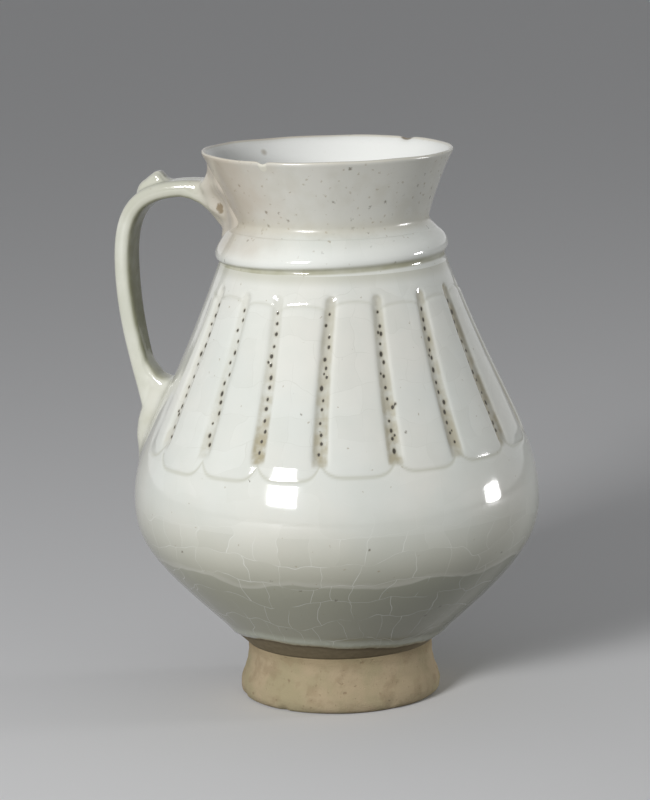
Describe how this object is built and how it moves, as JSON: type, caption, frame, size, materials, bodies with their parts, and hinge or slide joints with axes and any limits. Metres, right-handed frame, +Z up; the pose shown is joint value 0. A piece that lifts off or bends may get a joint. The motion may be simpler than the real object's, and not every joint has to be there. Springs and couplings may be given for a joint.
{
  "type": "tankard",
  "caption": "One-handled jug of carved and pierced white fritware, with a turned foot, wide belly, collar ring, flaring neck and a strap handle with a thumb rest.",
  "frame": {"origin": "on the surface that the foot rests on, under the middle of the bounding box; the jug's own axis stands 3.65 mm from it towards +X, because the handle reaches past the belly", "axes": "+Z up along the jug's axis; the handle points to -X and lies in the XZ plane"},
  "size_m": [0.1398, 0.1326, 0.18],
  "materials": {
    "bare_foot_clay": "matt, bare fired clay with pits",
    "white_glaze": "glossy ivory glaze, crackled and specked",
    "worn_neck_glaze": "worn, greyer glaze",
    "stained_glaze": "glaze with a pinkish-brown stain"
  },
  "bodies": {
    "root": {"foot_ring": "bare_foot_clay", "lower_body": "white_glaze", "upper_body": "white_glaze", "collar_ring": "white_glaze", "neck": "worn_neck_glaze", "handle_strap": "white_glaze", "thumb_rest": "white_glaze", "upper_luting": "stained_glaze", "lower_luting": "white_glaze"}
  },
  "joints": []
}
